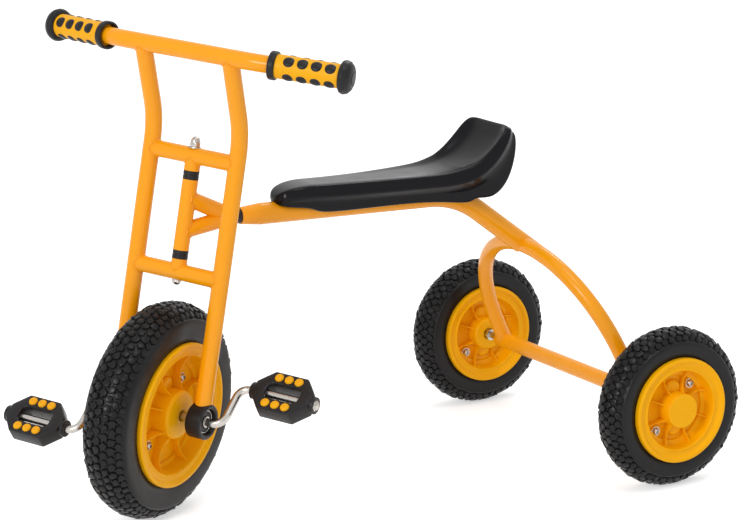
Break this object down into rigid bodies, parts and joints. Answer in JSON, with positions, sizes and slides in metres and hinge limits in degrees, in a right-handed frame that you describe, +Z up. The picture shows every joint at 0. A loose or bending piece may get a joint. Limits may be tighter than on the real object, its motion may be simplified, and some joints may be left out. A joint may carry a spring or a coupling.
{
  "type": "child's tricycle",
  "caption": "Child's pedal tricycle with a tall twin-leg steering fork, direct-drive front wheel, moulded saddle and a tube hoop over the rear axle.",
  "frame": {"origin": "centre of the overall box, on the floor under the tyres", "axes": "+X forward, +Y to the rider's left, +Z up"},
  "size_m": [1.0122, 0.607, 0.7259],
  "materials": {
    "orange_enamel": "smooth glossy orange powder coat on welded steel tube",
    "yellow_plastic": "glossy warm yellow moulded plastic",
    "rim_plastic": "glossy yellow-orange moulded plastic",
    "black_plastic": "black moulded plastic with a soft sheen",
    "seat_plastic": "glossy black moulded plastic",
    "black_rubber": "matt black rubber",
    "tyre_rubber": "dark grey tyre rubber with a blocky tread",
    "bright_steel": "bright plated steel"
  },
  "bodies": {
    "frame": {"main_tube": "orange_enamel", "neck_collar": "black_plastic", "neck_upper_tube": "orange_enamel", "neck_lower_tube": "orange_enamel", "head_tube": "orange_enamel", "lower_bush": "black_plastic", "upper_bush": "black_plastic", "seat": "seat_plastic", "rear_hoop": "orange_enamel", "rear_axle_tube": "orange_enamel", "rear_axle_rod_left": "bright_steel", "rear_axle_rod_right": "bright_steel"},
    "fork": {"handlebar": "orange_enamel", "lower_cross_tube": "orange_enamel", "upper_cross_tube": "orange_enamel", "lower_stub": "orange_enamel", "upper_stub": "orange_enamel", "pivot_bolt": "bright_steel", "fork_leg_left": "orange_enamel", "fork_leg_right": "orange_enamel", "grip_sleeve_left": "yellow_plastic", "grip_sleeve_right": "yellow_plastic", "grip_flange_left": "black_rubber", "grip_flange_right": "black_rubber", "grip_cap_left": "black_rubber", "grip_cap_right": "black_rubber", "grip_dots_left": "black_rubber", "grip_dots_right": "black_rubber", "axle_housing_left": "black_plastic", "axle_housing_right": "black_plastic", "axle_bearing_left": "bright_steel", "axle_bearing_right": "bright_steel"},
    "front_wheel": {"front_tyre": "tyre_rubber", "front_rim_left": "rim_plastic", "front_rim_right": "rim_plastic", "crankshaft": "bright_steel", "crank_nut_left": "bright_steel", "crank_nut_right": "bright_steel"},
    "pedal_left": {"pedal_left": "black_plastic", "pedal_studs_left": "yellow_plastic"},
    "rear_wheel_left": {"rear_tyre_left": "tyre_rubber", "rear_rim_outer_left": "rim_plastic", "rear_rim_inner_left": "rim_plastic", "rear_hub_cap_left": "rim_plastic"},
    "pedal_right": {"pedal_right": "black_plastic", "pedal_studs_right": "yellow_plastic"},
    "rear_wheel_right": {"rear_tyre_right": "tyre_rubber", "rear_rim_outer_right": "rim_plastic", "rear_rim_inner_right": "rim_plastic", "rear_hub_cap_right": "rim_plastic"}
  },
  "joints": [
    {"name": "steering", "type": "hinge", "parent": "frame", "child": "fork", "pos_m": [0.27783, 0, 0.44241], "axis": [-0.1785, 0, 0.9839], "range_deg": [-76.4, 13.6]},
    {"name": "front_wheel_spin", "type": "hinge", "parent": "fork", "child": "front_wheel", "pos_m": [0.32914, 0, 0.15952], "axis": [-0.5122, 0.8538, -0.0929], "continuous": true},
    {"name": "pedal_left_spin", "type": "hinge", "parent": "front_wheel", "child": "pedal_left", "pos_m": [0.19437, 0.13347, 0.189], "axis": [-0.5122, 0.8538, -0.0929], "continuous": true},
    {"name": "pedal_right_spin", "type": "hinge", "parent": "front_wheel", "child": "pedal_right", "pos_m": [0.46392, -0.13347, 0.13004], "axis": [-0.5122, 0.8538, -0.0929], "continuous": true},
    {"name": "rear_wheel_left_spin", "type": "hinge", "parent": "frame", "child": "rear_wheel_left", "pos_m": [-0.38486, 0.2665, 0.1212], "axis": [0, 1, 0], "continuous": true},
    {"name": "rear_wheel_right_spin", "type": "hinge", "parent": "frame", "child": "rear_wheel_right", "pos_m": [-0.38486, -0.2665, 0.1212], "axis": [0, 1, 0], "continuous": true}
  ]
}
